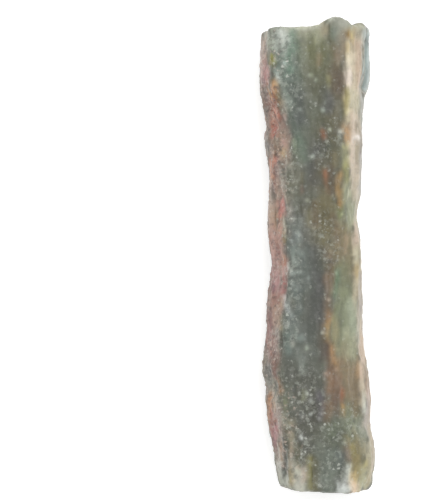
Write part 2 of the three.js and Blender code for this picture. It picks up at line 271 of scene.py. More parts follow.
# Where each mineral shows, from the deepest to the last, with a few painted shadows, painted glints and
# painted light on thin edges among the patches: how soft the edges of its patches are, how much it hides
# of what is beneath, and each patch as (colour, half width, path), in millimetres.
SEEN_FROM_ABOVE = {
    "broad tones of the body": (0.48, 0.9, [
        ("#848970", 1.4, [(-0.3, 18.6), (-0.1, 17.0)]),
        ("#72765f", 1.3, [(0.0, 16.4), (0.2, 14.6)]),
        ("#a4a790", 0.52, [(-1.7, 18.25), (0.0, 18.25)]),
        ("#636759", 1.4, [(0.1, 13.4), (0.3, 9.0)]),
        ("#666554", 0.6, [(1.4, 12.4), (1.4, 9.6)]),
        ("#6a7c72", 0.9, [(-2.7, 18.0), (-2.4, 14.4)]),
        ("#606d65", 0.8, [(-2.0, 13.4), (-1.8, 9.8)]),
        ("#585c5b", 0.8, [(-0.2, 8.4), (-0.2, 6.2)]),
        ("#66786a", 0.45, [(-1.6, 9.4), (-1.4, 7.9)]),
        ("#75776a", 0.6, [(-2.2, 7.8), (-2.1, 5.4)]),
        ("#6a695a", 0.8, [(0.8, 7.4), (0.8, 4.6)]),
        ("#78745d", 1.0, [(0.6, 4.2), (0.7, 0.4)]),
        ("#7f7661", 0.7, [(1.9, 2.0), (1.7, -0.6)]),
        ("#868068", 0.6, [(2.5, 2.2), (2.6, -1.4)]),
        ("#979c83", 0.6, [(2.6, 5.6), (2.6, 2.8)]),
        ("#5e6159", 0.7, [(-1.1, 3.6), (-0.9, 0.2)]),
        ("#595f5c", 1.0, [(-0.4, -0.4), (-0.3, -4.4), (-0.4, -6.2)]),
        ("#616c66", 0.5, [(-1.2, -0.2), (-1.1, -2.8)]),
        ("#69736e", 0.6, [(-2.0, 2.8), (-1.9, -2.8)]),
        ("#6b7872", 0.7, [(-2.1, -5.2), (-2.0, -8.2)]),
        ("#606862", 1.0, [(-0.9, -6.4), (-0.8, -9.6)]),
        ("#5f655f", 0.6, [(-2.3, -8.2), (-2.0, -9.6)]),
        ("#7b8069", 0.7, [(2.0, -1.2), (2.2, -3.2)]),
        ("#889077", 0.9, [(2.3, -3.6), (2.4, -7.6)]),
        ("#a2aa96", 0.4, [(2.85, -3.8), (2.9, -6.2)]),
        ("#8e8a72", 0.8, [(2.3, -8.0), (2.4, -9.2)]),
        ("#897b65", 0.8, [(2.5, -9.4), (2.7, -12.2)]),
        ("#8b7d68", 0.5, [(3.3, -9.4), (3.45, -12.2)]),
        ("#856e5d", 0.55, [(1.3, -9.0), (1.2, -11.4)]),
        ("#5d615a", 1.3, [(-1.0, -10.0), (-0.6, -15.6)]),
        ("#6d7868", 0.5, [(1.3, -13.9), (1.3, -15.0)]),
        ("#747b70", 0.55, [(0.0, -14.4), (0.2, -15.8)]),
        ("#7a836f", 0.8, [(2.8, -12.8), (2.9, -15.0)]),
        ("#6e7363", 0.35, [(2.15, -14.3), (2.25, -15.5)]),
        ("#9fa495", 0.5, [(3.7, -14.0), (3.8, -15.6)]),
        ("#8c8365", 0.7, [(3.0, -15.4), (3.3, -17.8)]),
        ("#b6b79a", 0.6, [(3.8, -17.6), (3.75, -18.7)]),
        ("#707a71", 0.9, [(1.0, -16.4), (1.0, -19.2)]),
        ("#c8c8ba", 0.62, [(-1.65, -17.1), (-1.5, -19.1)]),
        ("#6b6a52", 0.3, [(-0.25, -16.8), (-0.25, -19.2)]),
        ("#94988b", 0.7, [(1.6, 19.3), (1.5, 17.6)]),
    ]),
    "streaks along the fibres": (0.48, 0.75, [
        ("#7b9a85", 0.22, [(-2.2, 18.4), (-2.05, 16.6)]),
        ("#6b8a78", 0.2, [(-2.4, 16.8), (-2.2, 15.0)]),
        ("#5f7f66", 0.25, [(1.5, -1.3), (1.5, -2.2)]),
        ("#688069", 0.25, [(1.4, -2.4), (1.3, -3.2)]),
        ("#958068", 0.14, [(0.05, 16.4), (0.1, 15.4)]),
        ("#665a4d", 0.55, [(1.5, 15.2), (1.6, 13.5)]),
        ("#594f46", 0.3, [(1.95, 14.6), (2.0, 13.2)]),
        ("#8f8f68", 0.12, [(0.9, 14.7), (1.0, 13.7)]),
        ("#75705c", 0.4, [(1.2, 17.4), (1.4, 15.8)]),
        ("#8a7a68", 0.2, [(1.5, 16.8), (1.5, 15.9)]),
        ("#595f5f", 0.35, [(0.6, 13.4), (0.9, 12.0)]),
        ("#5b6260", 0.4, [(-1.5, 12.9), (-1.4, 11.0)]),
        ("#6c7468", 0.3, [(-0.5, 12.7), (-0.4, 11.2)]),
        ("#6f6350", 0.28, [(-0.35, 4.2), (-0.3, 2.5)]),
        ("#7a7962", 0.3, [(-0.8, 3.6), (-0.7, 2.6)]),
        ("#7d6f5c", 0.25, [(1.3, 3.2), (1.5, 1.2)]),
        ("#675f55", 0.25, [(1.1, 7.2), (1.2, 5.2)]),
        ("#7f7a62", 0.2, [(1.4, 8.4), (1.3, 7.4)]),
        ("#575b5a", 0.4, [(0.2, -2.0), (0.2, -5.6)]),
        ("#5f6c68", 0.3, [(-1.6, -2.8), (-1.5, -4.4)]),
        ("#70807a", 0.25, [(-2.5, -6.4), (-2.3, -7.8)]),
        ("#7b847d", 0.3, [(-1.3, -8.3), (-1.2, -9.4)]),
        ("#6c6c70", 0.28, [(0.2, -11.2), (0.15, -13.4)]),
        ("#61665f", 0.4, [(-1.2, -15.0), (-1.1, -17.0)]),
        ("#50544d", 0.38, [(-0.35, -12.2), (-0.35, -14.2)]),
        ("#7d856b", 0.25, [(1.4, -4.0), (1.5, -5.2)]),
        ("#9a9474", 0.3, [(1.35, -5.4), (1.5, -7.4)]),
        ("#a8ab92", 0.32, [(2.4, -6.3), (2.8, -7.2), (2.9, -8.1)]),
        ("#7c715d", 0.3, [(3.0, -10.4), (3.1, -12.8)]),
        ("#a08f78", 0.2, [(2.3, 1.4), (2.4, 0.2)]),
        ("#76805a", 0.2, [(1.8, 3.9), (1.8, 3.2)]),
        ("#948c60", 0.22, [(2.8, -15.5), (2.9, -16.2)]),
        ("#958a64", 0.42, [(2.95, -16.8), (3.05, -17.7)]),
        ("#877a70", 0.25, [(2.3, -15.6), (2.4, -16.4)]),
        ("#646f6c", 0.3, [(1.9, -16.2), (1.9, -17.3)]),
        ("#88855a", 0.22, [(-0.75, -16.6), (-0.7, -18.6)]),
        ("#5a5c4c", 0.16, [(0.0, -17.4), (-0.05, -18.4)]),
        ("#c0ae9e", 0.2, [(-1.15, -17.4), (-1.2, -18.2)]),
    ]),
    "the weathered rind on the left": (0.36, 0.9, [
        ("#9a877b", 0.36, [(-4.45, 17.8), (-4.4, 13.6)]),
        ("#a18d81", 0.5, [(-4.3, 13.4), (-3.9, 10.6), (-3.7, 6.0), (-3.7, 2.0)]),
        ("#a48c84", 0.5, [(-3.5, 2.2), (-3.3, -1.4), (-3.5, -4.6), (-3.9, -8.0)]),
        ("#9b9287", 0.45, [(-4.1, -8.6), (-3.9, -11.6), (-3.7, -14.4), (-3.3, -16.8)]),
        ("#9ea496", 0.42, [(-4.2, 18.2), (-3.85, 17.2)]),
        ("#b59f92", 0.26, [(-4.4, 17.5), (-4.45, 16.0)]),
        ("#b09088", 0.26, [(-4.45, 16.0), (-4.4, 15.0)]),
        ("#b78a86", 0.24, [(-4.3, 15.0), (-4.25, 14.0)]),
        # painted light: a pale line along the thin left edge, where light shines through it
        ("#c6bab2", 0.14, [(-4.68, 17.4), (-4.68, 14.8)]),
        ("#8a6f70", 0.14, [(-4.6, 14.3), (-4.55, 13.8)]),
        ("#7f756c", 0.32, [(-4.3, 13.5), (-4.2, 12.2)]),
        ("#96918a", 0.3, [(-4.4, 12.2), (-4.1, 11.0)]),
        ("#a9865c", 0.28, [(-3.8, 14.0), (-3.55, 13.3)]),
        ("#d0a080", 0.32, [(-3.7, 13.6), (-3.5, 12.9)]),
        ("#885342", 0.42, [(-3.8, 12.7), (-3.6, 11.8)]),
        ("#bf8b7a", 0.42, [(-3.6, 11.5), (-3.45, 10.3)]),
        ("#a0877c", 0.36, [(-2.85, 10.4), (-2.8, 9.7)]),
        ("#98918a", 0.28, [(-4.2, 11.8), (-4.1, 10.4)]),
        ("#7d7d78", 0.3, [(-4.25, 10.2), (-4.1, 8.8)]),
        ("#b4b4ad", 0.12, [(-4.35, 10.2), (-4.3, 9.4)]),
        ("#94806f", 0.55, [(-3.3, 9.8), (-3.2, 8.1)]),
        ("#a08d80", 0.3, [(-2.6, 9.4), (-2.6, 8.3)]),
        ("#9a8a7e", 0.4, [(-2.9, 7.9), (-2.8, 7.3)]),
        ("#c4856e", 0.3, [(-3.65, 7.7), (-3.7, 6.2)]),
        ("#958079", 0.26, [(-3.3, 7.1), (-3.2, 6.0)]),
        ("#94736e", 0.3, [(-3.6, 6.0), (-3.5, 5.4)]),
        ("#9f8b7d", 0.4, [(-3.1, 5.8), (-3.0, 4.6)]),
        ("#bcaea2", 0.25, [(-3.9, 5.6), (-3.8, 3.2)]),
        ("#b59e8e", 0.4, [(-3.7, 3.6), (-3.7, 1.8)]),
        ("#b0927f", 0.35, [(-3.1, 3.2), (-3.1, 2.2)]),
        ("#b59287", 0.6, [(-3.4, 2.0), (-3.25, 0.0), (-3.15, -1.0)]),
        ("#b0908a", 0.5, [(-3.4, -0.6), (-3.4, -2.2)]),
        ("#ad8985", 0.45, [(-3.3, -2.2), (-3.2, -3.4)]),
        ("#8d8378", 0.25, [(-4.0, -3.0), (-4.0, -4.0)]),
        ("#a9867a", 0.45, [(-3.5, -3.4), (-3.4, -4.6)]),
        ("#886660", 0.3, [(-3.85, -4.5), (-3.85, -5.9)]),
        ("#ac9585", 0.24, [(-3.3, -4.5), (-3.2, -5.9)]),
        ("#9a948a", 0.24, [(-3.3, -6.0), (-3.2, -6.8)]),
        ("#9c7671", 0.3, [(-4.0, -6.2), (-3.95, -7.6)]),
        ("#967f76", 0.35, [(-3.55, -6.8), (-3.5, -8.6)]),
        ("#8f746a", 0.25, [(-3.8, -7.6), (-3.7, -8.6)]),
        ("#a0968a", 0.25, [(-4.3, -8.2), (-4.35, -9.6)]),
        ("#777a75", 0.32, [(-3.95, -8.8), (-4.0, -9.6)]),
        ("#8f918a", 0.3, [(-4.1, -9.9), (-4.0, -10.9)]),
        ("#835f56", 0.2, [(-3.45, -8.8), (-3.4, -9.9)]),
        ("#8c7055", 0.22, [(-3.25, -10.1), (-3.0, -10.9)]),
        ("#a5a092", 0.25, [(-3.6, -11.0), (-3.4, -12.4)]),
        ("#bd9072", 0.28, [(-3.85, -11.6), (-3.75, -12.9)]),
        ("#a37062", 0.26, [(-3.65, -12.9), (-3.55, -14.1)]),
        ("#9f938a", 0.28, [(-3.2, -12.6), (-3.1, -14.8)]),
        ("#b18080", 0.24, [(-3.5, -14.1), (-3.5, -15.0)]),
        ("#8a5e66", 0.2, [(-3.5, -15.1), (-3.4, -15.9)]),
        ("#a58a78", 0.2, [(-3.2, -15.3), (-3.1, -16.3)]),
        ("#a39382", 0.24, [(-3.15, -16.0), (-3.0, -17.0)]),
        ("#cfcec3", 0.3, [(-3.4, -16.9), (-3.05, -17.9)]),
        ("#adb1a3", 0.4, [(-3.0, -18.1), (-2.5, -18.9)]),
    ]),
    "flecks and veins in the rind": (0.45, 0.75, [
        ("#9b8a60", 0.1, [(-3.45, 13.4), (-3.1, 12.6), (-2.9, 11.9)]),
        ("#aba092", 0.2, [(-2.8, 12.4), (-2.8, 11.4)]),
        ("#b9a67a", 0.1, [(-3.5, 13.9)]),
        ("#a39c38", 0.2, [(-3.75, 16.1), (-3.65, 15.7)]),
        ("#7d625c", 0.16, [(-4.1, 12.9), (-4.0, 12.5)]),
        ("#a3645b", 0.14, [(-3.0, 11.7), (-3.0, 11.1)]),
        ("#b8765c", 0.16, [(-3.6, 10.9), (-3.5, 10.5)]),
        ("#bb7068", 0.18, [(-3.45, 10.4), (-3.4, 9.8)]),
        ("#dcb09c", 0.1, [(-3.62, 11.25)]),
        ("#c9a8a0", 0.09, [(-2.7, 11.4), (-2.65, 11.0)]),
        ("#c7c0b2", 0.12, [(-2.7, 10.0)]),
        ("#b89a90", 0.18, [(-2.9, 9.2), (-2.8, 8.8)]),
        ("#b8a07c", 0.14, [(-2.85, 8.5), (-2.8, 8.2)]),
        ("#64463e", 0.12, [(-3.4, 8.2), (-3.4, 7.9)]),
        ("#6a4e48", 0.08, [(-3.7, 9.1), (-3.65, 8.8)]),
        ("#d9ac8a", 0.11, [(-3.75, 6.4), (-3.75, 6.1)]),
        ("#b88078", 0.12, [(-3.35, 7.8), (-3.3, 7.5)]),
        ("#aba296", 0.13, [(-3.0, 7.2), (-2.9, 6.2), (-2.65, 5.2)]),
        ("#5c6c66", 0.08, [(-3.65, 5.5), (-3.6, 4.6)]),
        ("#cb827a", 0.22, [(-2.9, 4.4), (-2.85, 3.3)]),
        ("#c4b0a0", 0.12, [(-2.7, 4.9), (-2.6, 4.4)]),
        ("#8b765a", 0.07, [(-3.48, 3.7), (-3.42, 2.6), (-3.25, 2.0)]),
        ("#cec7b5", 0.1, [(-2.75, 2.8), (-2.7, 1.9)]),
        ("#a5805a", 0.08, [(-2.87, 1.9), (-2.85, 1.2)]),
        ("#b39f6c", 0.08, [(-2.7, 1.7), (-2.65, 1.2)]),
        ("#c0a898", 0.12, [(-3.3, 1.1)]),
        ("#94706c", 0.08, [(-3.5, 0.8), (-3.1, 0.0)]),
        ("#b27a60", 0.12, [(-2.85, -0.1), (-2.85, -0.8)]),
        ("#d8c8a8", 0.07, [(-2.8, -0.05)]),
        ("#e0bcb0", 0.1, [(-2.9, -1.55)]),
        ("#a66a64", 0.1, [(-2.82, -1.9), (-2.8, -3.2)]),
        ("#76525c", 0.11, [(-3.6, -2.4), (-3.6, -2.8)]),
        ("#8a6468", 0.08, [(-3.75, -1.6), (-3.7, -2.0)]),
        ("#b39c80", 0.1, [(-2.95, -3.5), (-2.95, -4.1)]),
        ("#8a8f78", 0.1, [(-2.95, -4.9), (-2.95, -6.0)]),
        ("#b8aca0", 0.1, [(-3.3, -7.2)]),
        ("#c4b0a6", 0.08, [(-3.7, -6.0)]),
        ("#5f6468", 0.12, [(-3.9, -8.8)]),
        ("#b09a78", 0.08, [(-2.9, -10.9)]),
        ("#a9ae9c", 0.1, [(-3.75, -9.6), (-3.6, -10.4)]),
        ("#c0a284", 0.1, [(-3.9, -12.2)]),
    ]),
    "the bevel, flake and rims on the right": (0.34, 0.9, [
        ("#c2b59f", 0.72, [(2.95, 17.0), (2.95, 12.8), (3.05, 8.8)]),
        ("#bdb4a3", 0.55, [(3.6, 12.4), (3.4, 9.0), (3.3, 5.0)]),
        ("#aaa591", 0.45, [(3.3, 5.0), (3.3, 2.4), (3.5, -1.4)]),
        ("#b3a996", 0.38, [(3.55, -1.4), (3.65, -5.6), (3.95, -8.8), (4.3, -12.0)]),
        ("#aca898", 0.4, [(4.2, -12.4), (4.4, -15.6)]),
        ("#b8b29c", 0.4, [(4.35, -15.4), (4.3, -18.4)]),
        ("#adac96", 0.5, [(2.9, 18.6), (3.8, 18.5)]),
        ("#b2ac9a", 0.32, [(3.3, 18.2), (3.6, 17.2)]),
        ("#cabfa8", 0.6, [(2.95, 17.4), (2.95, 12.6)]),
        ("#a79d86", 0.36, [(2.85, 18.0), (2.95, 17.0)]),
        ("#c4b09d", 0.26, [(3.3, 17.4), (3.35, 13.8)]),
        ("#94978b", 0.27, [(3.48, 12.9), (3.4, 11.2)]),
        ("#cdbd98", 0.18, [(2.4, 17.0), (2.4, 16.0)]),
        ("#e3dac3", 0.28, [(2.46, 15.9), (2.5, 15.2)]),
        ("#e8dbce", 0.3, [(2.5, 15.0), (2.56, 14.0)]),
        ("#c2bca4", 0.4, [(2.8, 13.2), (2.8, 11.4)]),
        ("#c9baa8", 0.45, [(2.9, 11.2), (3.0, 9.2)]),
        ("#cfc1b0", 0.5, [(2.95, 9.2), (2.95, 6.4)]),
        ("#c4baa8", 0.38, [(3.0, 6.8), (3.05, 4.6)]),
        ("#837d6a", 0.11, [(3.62, 17.2), (3.66, 15.6), (3.6, 13.4)]),
        ("#a7b2b0", 0.32, [(4.0, 18.2), (4.05, 13.9)]),
        ("#99aba6", 0.22, [(3.85, 17.2), (3.85, 14.0)]),
        # painted light: the flake's thin outer rim, pale where light shines through it
        ("#c0ccc9", 0.14, [(4.25, 18.2), (4.3, 14.0)]),
        ("#b3bab6", 0.16, [(4.15, 13.9), (4.05, 13.3)]),
        # painted shadow under the end of the flake
        ("#8f928d", 0.16, [(3.85, 13.3), (3.72, 12.2)]),
        ("#a9aaa4", 0.16, [(3.72, 12.6), (3.66, 10.2)]),
        ("#a09f99", 0.15, [(3.6, 10.0), (3.55, 5.4)]),
        ("#aaa28e", 0.14, [(3.25, 9.0), (3.25, 7.6)]),
        ("#979c84", 0.3, [(3.05, 4.0), (2.95, 2.8)]),
        ("#c6b4a3", 0.24, [(3.2, 2.6), (3.25, 0.9)]),
        ("#c9c2a8", 0.2, [(3.05, 0.6), (3.2, 0.0), (3.2, -0.5)]),
        ("#b9a783", 0.2, [(3.2, -0.8), (3.25, -1.9)]),
        ("#bcb39c", 0.26, [(3.2, -1.9), (3.1, -3.4)]),
        ("#aca59e", 0.18, [(3.62, -1.4), (3.64, -5.6)]),
        ("#b7b4a2", 0.24, [(3.4, -5.8), (3.5, -7.0)]),
        ("#cdb9a6", 0.18, [(3.6, -6.6), (3.66, -9.0), (3.7, -11.0)]),
        ("#9b8c7c", 0.25, [(4.05, -8.8), (4.1, -10.8)]),
        ("#b9a496", 0.22, [(4.2, -10.4), (4.2, -12.2)]),
        ("#c2b8a4", 0.2, [(3.62, -10.4), (3.66, -12.2)]),
        ("#b4aba1", 0.26, [(4.0, -12.2), (4.0, -13.8)]),
        ("#bdb1a0", 0.16, [(4.3, -14.0), (4.55, -15.8)]),
        ("#c4b2a2", 0.16, [(4.6, -15.8), (4.55, -17.6)]),
        ("#b0a78c", 0.2, [(4.4, -17.6), (4.3, -18.6)]),
    ]),
    "flecks and veins on the right": (0.45, 0.75, [
        ("#a67c30", 0.22, [(2.36, 18.25), (2.46, 17.8)]),
        ("#c2b282", 0.14, [(2.75, 18.2), (2.8, 17.7)]),
        ("#5f6150", 0.13, [(0.86, 19.0), (0.84, 18.2), (0.95, 17.4)]),
        # painted light: a pale rim along the knob's rounded top edge, set against its shade as it curves
        # down
        ("#b7baae", 0.2, [(0.8, 19.0), (1.2, 19.35), (1.9, 19.35), (2.3, 19.05)]),
        ("#cfd0c1", 0.22, [(-3.5, 18.62), (-1.4, 18.58), (0.3, 18.7)]),
        ("#aba28c", 0.24, [(0.65, 18.7), (0.6, 18.1)]),
        ("#7a877b", 0.26, [(1.25, 18.4), (1.2, 17.6)]),
        ("#a9ab9e", 0.26, [(2.0, 19.0), (2.1, 18.5)]),
        ("#8f8474", 0.3, [(2.0, 17.6), (1.9, 16.2)]),
        ("#a59b66", 0.14, [(2.25, 13.4), (2.2, 11.4)]),
        ("#ded6b0", 0.15, [(2.4, 11.7)]),
        ("#d8cfa8", 0.13, [(2.55, 10.9)]),
        ("#b58f66", 0.2, [(2.35, 10.5), (2.3, 9.5)]),
        ("#a68a62", 0.1, [(2.0, 11.0), (1.95, 10.3)]),
        ("#bebb90", 0.3, [(2.15, 8.9), (2.2, 7.4)]),
        ("#98986c", 0.3, [(2.3, 7.3), (2.35, 6.3)]),
        ("#fbfaf6", 0.13, [(2.95, 9.5), (3.4, 9.5)]),
        ("#e2dbd0", 0.1, [(2.75, 9.7)]),
        ("#b08d5e", 0.2, [(1.74, 6.6), (1.76, 5.4), (1.82, 4.4)]),
        ("#b08450", 0.08, [(1.7, 4.6), (1.8, 4.1)]),
        ("#ddd6a8", 0.09, [(2.0, 4.6)]),
        ("#b2b69a", 0.14, [(2.5, 5.4), (2.7, 4.9)]),
        ("#6a5d4b", 0.28, [(0.95, 0.2), (0.95, -2.0)]),
        ("#7f6d5c", 0.3, [(0.85, -1.7), (0.85, -4.6)]),
        ("#9e7c5b", 0.18, [(0.76, -4.7), (0.72, -5.7)]),
        ("#b89a68", 0.24, [(0.68, -5.6), (0.78, -6.9)]),
        ("#8c7d48", 0.1, [(0.62, -6.5), (0.7, -7.0)]),
        ("#5e4e49", 0.4, [(0.85, -7.2), (0.9, -8.2)]),
        ("#625f56", 0.3, [(0.3, -5.7), (0.3, -7.2)]),
        ("#6b5a54", 0.16, [(1.15, -7.6), (1.15, -8.1)]),
        ("#73685d", 0.22, [(0.8, -8.4), (0.8, -9.2)]),
        ("#b08d66", 0.16, [(0.95, -6.9), (1.25, -7.8), (1.3, -8.8)]),
        ("#9a8468", 0.16, [(1.55, -8.4), (1.5, -9.6)]),
        ("#976f52", 0.2, [(0.95, -9.5), (0.95, -11.2)]),
        ("#6c5e54", 0.25, [(1.45, -11.2), (1.45, -12.6)]),
        ("#a0684e", 0.12, [(1.98, -11.0), (2.0, -12.2)]),
        ("#b1905f", 0.13, [(2.05, -12.3), (2.15, -13.1)]),
        ("#9b7d64", 0.12, [(1.0, -11.8), (1.0, -13.0)]),
        ("#7c6a58", 0.2, [(0.75, -12.0), (0.8, -13.6)]),
        ("#b39674", 0.1, [(3.3, -8.0), (3.3, -9.9)]),
        ("#ccd5ca", 0.1, [(3.72, -11.2), (3.76, -12.7)]),
        ("#8f9089", 0.06, [(3.95, -11.6), (3.98, -12.6)]),
        ("#b9b07e", 0.13, [(3.95, -16.8), (3.95, -17.2)]),
        ("#dcc294", 0.28, [(2.85, -18.0), (2.95, -18.8)]),
        ("#ead3bb", 0.32, [(3.05, -18.7), (3.15, -19.4)]),
    ]),
    "flecks and veins in the body": (0.48, 0.75, [
        ("#a36852", 0.15, [(0.4, 10.2), (0.5, 9.6)]),
        ("#a3684c", 0.12, [(0.58, 6.8), (0.62, 5.7)]),
        ("#82705e", 0.1, [(0.72, 5.8), (0.8, 5.1)]),
        ("#7d7350", 0.09, [(-1.28, 6.6), (-1.25, 6.0)]),
        ("#8c695e", 0.08, [(-1.25, 5.7), (-1.22, 5.2)]),
        ("#a99880", 0.09, [(-2.25, -14.3), (-2.25, -15.0)]),
        ("#848a6a", 0.18, [(-2.65, -11.8), (-2.6, -12.8)]),
        ("#9fa08e", 0.2, [(-2.65, -13.1), (-2.7, -13.8)]),
        ("#645e50", 0.2, [(-2.6, -14.1), (-2.5, -14.4)]),
        ("#a19b87", 0.24, [(-2.2, -13.4), (-2.0, -15.5)]),
        ("#6a6a50", 0.2, [(-1.55, -15.6), (-1.5, -17.0)]),
        ("#4d504a", 0.17, [(-2.7, -15.3), (-2.68, -17.9)]),
        ("#b09e88", 0.13, [(-2.25, -15.4), (-2.2, -17.5)]),
        ("#b29d68", 0.1, [(-2.2, -17.5), (-2.2, -18.8)]),
        ("#8a8f74", 0.12, [(-1.2, -11.1), (-1.25, -11.9)]),
    ]),
    "frosty clumps": (0.48, 0.7, [
        ("#c0c8bd", 0.55, [(-3.3, 18.0), (-3.05, 17.1)]),
        ("#e2e6dd", 0.17, [(-3.0, 17.95), (-2.8, 17.4)]),
        ("#a3a99c", 0.18, [(-4.1, 18.25), (-3.0, 18.5)]),
        ("#ced5ca", 0.24, [(-2.65, 18.1), (-2.6, 17.75)]),
        ("#a3afa6", 0.2, [(-3.3, 14.9), (-3.15, 14.3)]),
        ("#c9d0ca", 0.12, [(-3.2, 14.3)]),
        ("#97a298", 0.28, [(-2.9, 13.5), (-2.4, 12.4)]),
        ("#87937f", 0.12, [(-2.05, 9.5), (-1.95, 8.4)]),
        ("#9b9c90", 0.2, [(-2.4, 7.2), (-2.3, 6.8)]),
        ("#e0e6de", 0.16, [(1.85, 10.1)]),
        ("#b9c5bb", 0.13, [(1.7, 9.65)]),
        ("#b2aba1", 0.26, [(-2.15, 3.0), (-2.3, 3.7)]),
        ("#95a09b", 0.2, [(-1.65, 1.8), (-1.6, 1.1)]),
        ("#7f8c86", 0.3, [(-2.5, 0.6), (-1.6, 0.2)]),
        ("#9ba79e", 0.2, [(-1.95, -0.2), (-1.8, -0.6)]),
        ("#a5b0a8", 0.18, [(-1.5, -1.2), (-2.1, -1.3)]),
        ("#9aa49d", 0.2, [(-1.8, -2.6), (-2.1, -2.2)]),
        ("#cad1cb", 0.15, [(-2.62, -3.2)]),
        ("#bfc6c0", 0.16, [(-2.35, -3.6)]),
        ("#aeb4b2", 0.24, [(-2.5, -3.9), (-2.35, -4.6)]),
        ("#a0a8a2", 0.15, [(-2.4, -5.3), (-2.3, -5.7)]),
        ("#a7aea6", 0.13, [(-1.85, -6.1)]),
        ("#829089", 0.2, [(-1.6, -6.6), (-1.3, -6.6)]),
        ("#aaa89c", 0.15, [(-2.1, -7.0), (-1.95, -7.2)]),
        ("#f0f4ee", 0.34, [(2.15, -18.3), (2.2, -19.2)]),
        ("#dfe5dd", 0.18, [(2.48, -17.1), (2.4, -18.2)]),
        ("#d3dad3", 0.2, [(2.1, -19.0), (2.5, -19.1)]),
        ("#48534a", 0.18, [(1.86, -17.4), (2.0, -18.3)]),
        ("#cdd0bd", 0.2, [(-1.7, -17.3), (-1.6, -17.7)]),
    ]),
    # pale specks: partly real pale grains and partly painted glints where a grain faces the light
    "single bright grains and painted glints": (0.4, 0.9, [
        ("#e3e9e3", 0.12, [(-2.7, 15.75)]),
        ("#adbbb3", 0.11, [(-2.6, 14.75)]),
        ("#aab6af", 0.1, [(-3.35, 15.8)]),
        ("#a4b09c", 0.13, [(-0.6, 14.55), (-0.45, 14.55)]),
        ("#a6b0a2", 0.1, [(-0.1, 14.2)]),
        ("#a9b3a8", 0.13, [(-1.45, 11.9)]),
        ("#a5b3a9", 0.12, [(0.45, 12.0)]),
        ("#9faaa0", 0.09, [(0.55, 12.7)]),
        ("#c2cab8", 0.12, [(0.98, 10.35)]),
        ("#c0b2a2", 0.1, [(0.65, 9.35)]),
        ("#aab5aa", 0.11, [(-0.45, 8.1)]),
        ("#a7b0a5", 0.1, [(0.25, 8.15)]),
        ("#b0b9aa", 0.11, [(0.5, 7.2)]),
        ("#b2b5ab", 0.12, [(-2.0, 5.2)]),
        ("#b9bba9", 0.12, [(-0.85, 4.65)]),
        ("#aeb5ab", 0.11, [(1.2, 4.8)]),
        ("#b3b898", 0.1, [(1.95, 3.35)]),
        ("#b8ae98", 0.12, [(2.1, 2.8)]),
        ("#a5a18c", 0.1, [(-0.3, 2.15)]),
        ("#c3cbc8", 0.1, [(-2.1, 1.0)]),
        ("#bcb39c", 0.12, [(0.93, 0.35)]),
        ("#b39f8f", 0.13, [(0.95, -0.1)]),
        ("#cdc7b0", 0.14, [(2.9, 0.25)]),
        ("#a0a08e", 0.14, [(2.1, -0.3)]),
        ("#a5a292", 0.14, [(2.65, -1.4)]),
        ("#95a391", 0.11, [(1.45, -1.3)]),
        ("#bcc4c0", 0.11, [(-2.4, -0.9)]),
        ("#a6b0aa", 0.11, [(-0.85, -1.85)]),
        ("#e2d2c6", 0.12, [(0.92, -3.55)]),
        ("#bbab98", 0.09, [(0.62, -3.55)]),
        ("#c9cfc3", 0.13, [(0.38, -6.3)]),
        ("#98a292", 0.12, [(-0.95, -7.4)]),
        ("#cbab9b", 0.11, [(1.45, -9.4)]),
        ("#b8a396", 0.11, [(0.65, -9.4)]),
        ("#b3b8b2", 0.12, [(-0.95, -11.1)]),
        ("#b6bbb5", 0.12, [(-0.65, -11.7)]),
        ("#bcc2bc", 0.1, [(-0.62, -12.7)]),
        ("#b2b4b0", 0.11, [(-1.25, -13.0)]),
        ("#bdbcba", 0.12, [(0.32, -13.0)]),
        ("#a9a9a8", 0.12, [(0.1, -13.4)]),
        ("#e3e8e1", 0.13, [(-1.25, -14.75)]),
        ("#a4b2ac", 0.1, [(1.9, -14.4)]),
        ("#cbd4c6", 0.12, [(2.15, -15.2)]),
        ("#9fb2aa", 0.1, [(-2.75, -17.6)]),
        ("#b6beb4", 0.11, [(0.1, -18.7)]),
    ]),
}
SEEN_FROM_BELOW = {
    "broad tones of the body": (0.45, 0.9, [
        ("#6c756c", 1.6, [(-1.0, 18.0), (-0.6, 8.0)]),
        ("#7d8069", 1.4, [(1.6, 16.0), (1.2, 9.0)]),
        ("#5f6764", 1.4, [(0.6, 6.0), (0.2, -4.0)]),
        ("#8d9679", 1.0, [(2.6, 3.0), (2.4, -5.0)]),
        ("#666c63", 1.4, [(-0.6, -6.0), (0.2, -14.0)]),
        ("#7c745e", 0.9, [(1.8, -7.0), (2.2, -13.0)]),
        ("#77867e", 1.0, [(-0.6, -15.0), (0.2, -19.0)]),
        ("#a9aa96", 0.8, [(2.6, -16.0), (2.4, -19.0)]),
    ]),
    "streaks, rind and veins": (0.3, 0.85, [
        ("#a5867b", 0.5, [(-3.4, 14.0), (-2.8, 8.0)]),
        ("#977066", 0.4, [(-3.2, 5.0), (-2.9, -1.0)]),
        ("#b09a8b", 0.4, [(-3.2, -3.0), (-2.7, -9.0)]),
        ("#9c7f6c", 0.3, [(-2.8, -10.5), (-2.6, -15.0)]),
        ("#c3b59d", 0.4, [(3.1, 12.0), (2.9, 6.0)]),
        ("#b8a68c", 0.3, [(3.2, -1.0), (3.4, -8.0)]),
        ("#98735b", 0.12, [(0.9, 12.5), (1.1, 7.0)]),
        ("#a3835f", 0.14, [(-0.7, 1.0), (-0.5, -4.5)]),
        ("#7b8f78", 0.4, [(-1.6, 12.0), (-1.4, 9.0)]),
        ("#6b5d50", 0.3, [(1.5, -1.0), (1.3, -4.5)]),
        ("#9c6f5a", 0.1, [(1.2, -9.0), (1.5, -12.5)]),
        ("#a8b2a6", 0.3, [(-1.5, 5.0), (-1.3, 2.5)]),
        ("#b1b7ab", 0.25, [(0.4, -11.0), (0.3, -12.5)]),
    ]),
}


